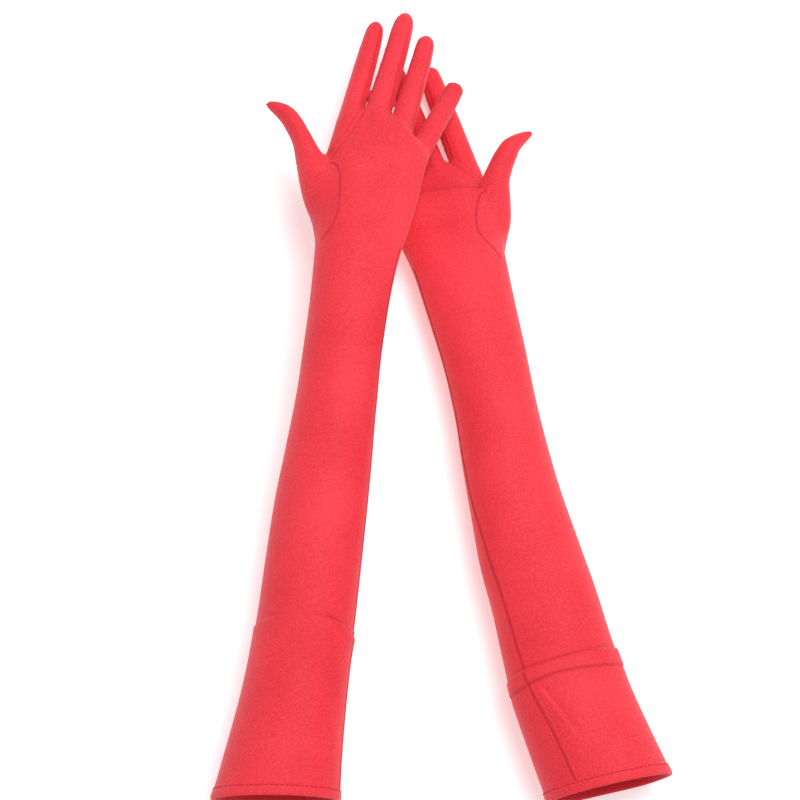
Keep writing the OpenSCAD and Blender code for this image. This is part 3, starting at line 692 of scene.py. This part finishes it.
def finger_seam(g, tree, i, angle):
    """A seam along a finger, seen from its own axis at this angle from the little finger's side."""
    length, h = FINGER_L[i], FINGER_H[i]
    a = math.radians(angle)
    found = []
    for y in np.arange(2, length - 5, 0.7):
        middle = h * (MID_SHARE + 0.05 * (y / length))
        start = from_finger(g, i, 0, y, middle)
        ahead = from_finger(g, i, 10 * math.cos(a), y, middle + 10 * math.sin(a))
        hit = cast(tree, start, ahead - start)
        if hit:
            found.append(hit[0])
    return np.array(found)


def long_seam(g, side, tree):
    """The seam up the little finger's side, from the hem to the wrist."""
    rows = np.array(spine(g))
    us = np.arange(rows[0, 0] + 7.2, -2, 0.8)
    if side == "left":
        turn = np.full(len(us), 8.0)
    else:
        turn = hermite([-375, -332, -300, -258, -210, -170, -100, 0], [52, 48, 40, 34, 28, 16, 9, 8], us)
    found = []
    for u, t in zip(us, np.radians(turn)):
        centre, _, height, back = (hermite(rows[:, 0], rows[:, k], np.array([u]))[0] for k in (1, 2, 3, 4))
        hit = cast(tree, (u, centre, back + MID_SHARE * height), (0, math.cos(t), math.sin(t)))
        if hit:
            found.append(hit[0])
    return np.array(found)


def seam_lines(g, side, tree):
    """Every seam as (points, depth of its groove)."""
    lines = {"long": (long_seam(g, side, tree), 0.45)}
    if side == "left":
        round_thumb = [(-29.4, 51), (-26.3, 50.4), (-23, 47.3), (-20.5, 41.3), (-18.5, 31.7),
                       (-16.9, 20.5), (-16, 10.8), (-18.3, -2), (-23, -9)]
        index_front = [(-12.2, 108), (-13.4, 97), (-19.5, 75), (-29, 54)]
        index_side = [(-17.5, 97), (-23.2, 76), (-31, 60)]
    else:
        round_thumb = [(-31, 38.8), (-26.6, 37.5), (-23.2, 32.2), (-19.9, 23.8), (-17, 11.4),
                       (-18.9, 3.8), (-23.2, -3.6), (-27.2, -11.7)]
        index_front = [(-15, 76), (-18, 70.1), (-24, 60.4), (-30.8, 48.9)]
        index_side = [(-20, 76), (-27, 62), (-33, 52)]
    lines["thumb"] = (draped(g, tree, round_thumb), 0.45)
    lines["index_front"] = (draped(g, tree, index_front), 0.42)
    lines["index_side"] = (draped(g, tree, index_side), 0.22)
    for i in range(4):
        for angle in ((38, -38) if i == 0 else (142, -142, 38, -38) if i < 3 else (142, -142, 0)):
            lines[f"finger_{i}_{angle}"] = (finger_seam(g, tree, i, angle), 0.38)
    return {k: v for k, v in lines.items() if len(v[0]) > 3}


def press_seams(verts, normals, lines):
    """Presses each seam into the surface, with the allowances raised a little beside it, and paints shade
    into each seam's groove.
    """
    tree = KDTree(len(verts))
    for i, p in enumerate(verts):
        tree.insert(p, i)
    tree.balance()
    out, painted_shade = np.zeros(len(verts)), np.zeros(len(verts))
    for points, depth in lines.values():
        near = np.full(len(verts), 9.0)   # distance to the seam, and this much where it is far off
        for p in resample(points, 0.6):
            for _, i, d in tree.find_range(p, 3.4):
                if d < near[i]:
                    near[i] = d
        out -= depth * np.exp(-(near / 0.75) ** 2)
        out += 0.3 * depth * np.exp(-((near - 1.9) / 0.8) ** 2)
        # painted shade down in the seam's groove
        painted_shade = np.maximum(painted_shade, min(1.3 * depth, 0.6) * np.exp(-(near / 0.7) ** 2))
    return out, painted_shade


# ---- Building each glove ------------------------------------------------------------------------
def region_of(g, centres):
    """Which piece each face belongs to: 0 sleeve, 1 forearm and hand, 2 thumb, 3 to 6 the fingers."""
    u, v, z = centres.T
    x, y, zh = to_hand(g, u, v, z)
    region = np.where(u < -SPLIT_SHARE * g["forearm_l"], 0, 1)
    tx, ty, _ = to_thumb(g, x, y, zh)
    edge = g["thumb_at"][0] - THUMB_EDGE
    # past its ball, only what lies near the thumb's axis is thumb
    inside = np.where(ty > 40, tx < 16, np.where(ty > 20, tx < 10.5, x < edge))
    in_thumb = inside & (x < edge) & (ty > -20) & (y > 1) & (u > 0)
    region[in_thumb] = 2
    best = np.full(len(u), 1.3)
    owner = np.full(len(u), -1)
    for i in range(4):
        fx, fy, _ = to_finger(g, i, x, y, zh)
        share = np.abs(fx) / (g["finger_w"][i] / 2)   # 0 on the finger's axis, 1 at its side
        closer = (share < best) & (fy > -20)
        best[closer] = share[closer]
        owner[closer] = np.where(fy > FINGER_CUT[i], i, -1)[closer]
    region[(owner >= 0) & (region != 2)] = 3 + owner[(owner >= 0) & (region != 2)]
    return region


def cloth_piece(g, name, coarse, fine_quads, fine, normals, painted_shade, chosen, inner, edge_middle):
    """Closed thin cloth: the fine outside, the coarse inside, and a rim between them."""
    coarse = coarse[chosen]
    outer = fine_quads.reshape(-1, 4, 4)[chosen].reshape(-1, 4)
    pairs = np.stack([coarse, np.roll(coarse, -1, 1)], -1).reshape(-1, 2)
    key = np.sort(pairs, 1) @ np.array([1, len(fine)])
    _, where, uses = np.unique(key, return_inverse=True, return_counts=True)
    open_pairs = pairs[uses[where] == 1]
    middles = np.array([edge_middle[k] for k in key[uses[where] == 1]])
    used_outer = np.unique(outer)
    used_inner = np.unique(coarse)
    at_outer = np.full(len(fine), -1)
    at_outer[used_outer] = np.arange(len(used_outer))
    at_inner = np.full(len(fine), -1)
    at_inner[used_inner] = len(used_outer) + np.arange(len(used_inner))
    a, b = open_pairs.T
    rim = np.stack([at_outer[b], at_outer[middles], at_outer[a], at_inner[a], at_inner[b]], 1)
    faces = [at_outer[outer], at_inner[coarse][:, ::-1], rim]
    points = np.concatenate([fine[used_outer], inner[used_inner]])
    facing = np.concatenate([normals[used_outer], -normals[used_inner]])
    # painted shade: the inside of the cloth is darkened at a quarter strength
    darks = np.concatenate([painted_shade[used_outer], np.full(len(used_inner), 0.25)])
    return make_object(g, name, points, faces, facing, darks)


def seam_thread(g, name, points, radius=0.26, stitch=2.4):
    points = resample(points, 0.5)
    along = 0.5 * np.arange(len(points))
    radii = radius * (1 + 0.22 * np.cos(2 * np.pi * along / stitch))
    places, faces = tube(points, radii)
    return make_object(g, name, places, faces, material=THREAD)


# the hem band's section: how far along from the sleeve's edge, and how far out from the sleeve
HEM_PROFILE = [(7.3, -0.35), (6.9, 0.28), (6.2, 0.45), (5.7, 0.14), (5.2, 0.48), (3.6, 0.72), (1.4, 0.74),
               (0.2, 0.5), (-0.5, -0.15), (-0.45, -1.0), (0.3, -1.75), (2.5, -1.9), (5.5, -1.8), (7.0, -1.6)]
HEM_SIDES = 144
HEM_NEAR, HEM_FAR = 2.0, 7.5    # where the sleeve is measured, from its edge
LOOP_STEP = 0.4
STITCH_STEP, STITCH_L = 3.2, 2.1
STITCH_RADII = np.array([0.16, 0.34, 0.4, 0.4, 0.34, 0.16])


def hem_pieces(g, side, tree):
    """The turned band at the open end and its row of stitches."""
    hem_u, centre, _, height, _ = spine(g)[0]
    count = HEM_SIDES
    rings, line = [], []
    for k in range(count):
        t = 2 * math.pi * k / count
        direction = np.array([0, math.cos(t), math.sin(t)])
        here, facing = cast(tree, (hem_u + HEM_NEAR, centre, MID_SHARE * height), direction)
        there, _ = cast(tree, (hem_u + HEM_FAR, centre, MID_SHARE * height), direction)
        slope = (there - here) / (HEM_FAR - HEM_NEAR)
        rings.append([here + slope * (a - HEM_NEAR) + facing * r for a, r in HEM_PROFILE])
        line.append(here + slope * 3.7 + facing * 0.42)
    rings = np.array(rings)
    m = len(HEM_PROFILE)
    i, j = (a.ravel() for a in np.meshgrid(np.arange(count), np.arange(m), indexing="ij"))
    i1, j1 = (i + 1) % count, (j + 1) % m
    quads = np.stack([i * m + j, i * m + j1, i1 * m + j1, i1 * m + j], 1)
    points = rings.reshape(-1, 3)
    points[:, 2] = np.maximum(points[:, 2], OUTER_REST)
    points, quads, _, _ = subdivide(points, quads)
    points = smooth(points, quads, 1)
    band = make_object(g, side + "_hem_band_cloth", points, [quads])
    loop = resample(np.array(line + line[:1]), LOOP_STEP)
    along = LOOP_STEP * np.arange(len(loop))
    stitches, stitch_faces, used = [], [], 0
    for s in np.arange(0.5, LOOP_STEP * (len(loop) - 1) - STITCH_L, STITCH_STEP):
        at = s + np.linspace(0, STITCH_L, len(STITCH_RADII))
        p, faces = tube(np.stack([np.interp(at, along, loop[:, c]) for c in range(3)], 1), STITCH_RADII)
        p[:, 2] = np.maximum(p[:, 2], OUTER_REST)
        stitches.append(p)
        stitch_faces.append([f + used for f in faces])
        used += len(p)
    walls = np.concatenate([f[0] for f in stitch_faces])
    caps = np.concatenate([f[1] for f in stitch_faces])
    sewing = make_object(g, side + "_hem_stitches", np.concatenate(stitches), [walls, caps],
                         material=THREAD)
    return band, sewing


def build_glove(side, g):
    """Every piece of one glove: the cloth and its seams in a dict, the hem's band and its stitches."""
    coarse_verts, coarse = grid_mesh(g)
    fine, fine_quads, coarse_edges, n_coarse = subdivide(coarse_verts, coarse)
    fine = smooth(fine, fine_quads, 2)
    hem_u = spine(g)[0][0]
    on_rim = np.abs(fine[:, 0] - hem_u) < 0.3
    out, painted_shade = shape_folds(g, side, fine, vertex_normals(fine, fine_quads))
    fine = fine + vertex_normals(fine, fine_quads) * out[:, None]
    tree = BVHTree.FromPolygons([tuple(p) for p in fine[:n_coarse]], coarse.tolist())
    lines = seam_lines(g, side, tree)
    normals = vertex_normals(fine, fine_quads)
    pressed, dark = press_seams(fine, normals, lines)
    fine = fine + normals * pressed[:, None]
    fine[on_rim, 0] = hem_u
    fine[:, 2] = np.maximum(fine[:, 2], OUTER_REST)
    # the painted shade of the seams joins that of the folds
    painted_shade = np.maximum(painted_shade, dark)
    band, sewing = hem_pieces(g, side, tree)
    normals = vertex_normals(fine, fine_quads)
    inner = fine - normals * CLOTH
    inner[:, 2] = np.maximum(inner[:, 2], INNER_REST)
    region = region_of(g, coarse_verts[coarse].mean(1))
    keys = np.sort(coarse_edges, 1) @ np.array([1, len(fine)])
    edge_middle = dict(zip(keys.tolist(), (n_coarse + np.arange(len(keys))).tolist()))
    pieces = {}
    names = ["sleeve_cloth", "forearm_hand_cloth", "thumb_cloth"]
    for k, name in enumerate(names + [finger + "_finger_cloth" for finger in FINGERS]):
        pieces[name] = cloth_piece(g, f"{side}_{name}", coarse, fine_quads, fine, normals, painted_shade,
                                   region == k, inner, edge_middle)
    split_u = -SPLIT_SHARE * g["forearm_l"]
    seam = lines["long"][0]
    pieces["sleeve_seam"] = seam_thread(g, side + "_sleeve_seam", seam[seam[:, 0] <= split_u + 1])
    pieces["forearm_seam"] = seam_thread(g, side + "_forearm_seam", seam[seam[:, 0] >= split_u])
    pieces["thumb_seam"] = seam_thread(g, side + "_thumb_seam", lines["thumb"][0], 0.2)
    if g["hem_skew"]:
        for obj in (pieces["sleeve_cloth"], pieces["sleeve_seam"], band, sewing):
            slant_object(g, obj, hem_u, -g["forearm_l"])
    return pieces, band, sewing


def slant_object(g, obj, hem_u, elbow_u):
    """Slants the hem. The slant fades out towards the elbow."""
    c, s = math.cos(math.radians(g["forearm_yaw"])), math.sin(math.radians(g["forearm_yaw"]))
    count = len(obj.data.vertices)
    co = np.zeros(3 * count, np.float32)
    obj.data.vertices.foreach_get("co", co)
    co = co.reshape(-1, 3) / MM
    x, y = co[:, 0] * g["mirror"] - g["wrist"][0], co[:, 1] - g["wrist"][1]
    u, v = x * s + y * c, x * c - y * s
    move = g["hem_skew"] * (v - spine(g)[0][1]) * np.clip((u - elbow_u) / (hem_u - elbow_u), 0, 1)
    co[:, 0] += g["mirror"] * move * s
    co[:, 1] += move * c
    obj.data.vertices.foreach_set("co", (co * MM).astype(np.float32).ravel())
    obj.data.update()


def join_to_bodies(side, g, pieces, band, sewing):
    """Bakes each piece into the part's frame, hides the parts it stands in for, and attaches the hem's band
    and stitches to the upper sleeve's body.
    """
    def node(*names):
        return [f"{side}_{name}" for name in names]

    upper, forearm, hand = node("upper_sleeve", "forearm", "hand")
    for name, cad in (("sleeve_cloth", "upper_sleeve_panel"), ("sleeve_seam", "upper_seam_thread")):
        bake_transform(pieces[name])
        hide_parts(*node(cad))
    for name, cads in (("forearm_hand_cloth", ("forearm_panel", "palm_panel", "back_panel")),
                       ("forearm_seam", ("forearm_seam_thread",)), ("thumb_seam", ("thumb_seam_thread",))):
        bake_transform(pieces[name])
        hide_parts(*node(*cads))
    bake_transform(pieces["thumb_cloth"])
    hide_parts(*node("thumb_panel"))
    for i, finger in enumerate(FINGERS):
        piece = pieces[finger + "_finger_cloth"]
        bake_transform(piece)
        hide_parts(*[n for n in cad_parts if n.startswith(f"{side}_{finger}_")])
    for piece, cad in ((band, "hem_band"), (sewing, "hem_stitching")):
        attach(piece, upper)
        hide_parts(*node(cad))


for side, g in GLOVES.items():
    join_to_bodies(side, g, *build_glove(side, g))

# ---- Floor and light ----------------------------------------------------------------------------
FLOOR_REACH = 6                  # metres
FLOOR_DROP = 0.0004              # keeps the floor clear of the gloves' undersides
FLOOR_COLOUR = (0.93, 0.93, 0.94, 1)
FLOOR_GLOW = 0.34
ROOM_LIGHT = 0.56
WHITE = (1, 1, 1, 1)

floor_mesh = bpy.data.meshes.new("floor")
corners = [(FLOOR_REACH * x, FLOOR_REACH * y, 0) for x, y in ((-1, -1), (1, -1), (1, 1), (-1, 1))]
floor_mesh.from_pydata(corners, [], [(0, 1, 2, 3)])
floor = bpy.data.objects.new("floor", floor_mesh)
floor.location.z = -FLOOR_DROP
bpy.context.scene.collection.objects.link(floor)
paper = bpy.data.materials.new("paper")
paper.use_nodes = True
for socket, value in (("Base Color", FLOOR_COLOUR), ("Roughness", 0.9),
                      ("Emission Color", WHITE), ("Emission Strength", FLOOR_GLOW)):
    paper.node_tree.nodes["Principled BSDF"].inputs[socket].default_value = value
floor_mesh.materials.append(paper)

world = bpy.data.worlds.new("studio")
bpy.context.scene.world = world
world.use_nodes = True
world.node_tree.nodes["Background"].inputs["Color"].default_value = WHITE
world.node_tree.nodes["Background"].inputs["Strength"].default_value = ROOM_LIGHT

key_data = bpy.data.lights.new("key", "AREA")
key_data.shape = "DISK"
key_data.size = 1.3
key_data.energy = 33
key = bpy.data.objects.new("key", key_data)
key.location = (0.6, 0.3, 2.1)
key.rotation_euler = (-key.location).to_track_quat("-Z", "Y").to_euler()
bpy.context.scene.collection.objects.link(key)
bpy.context.scene.view_settings.view_transform = "Standard"
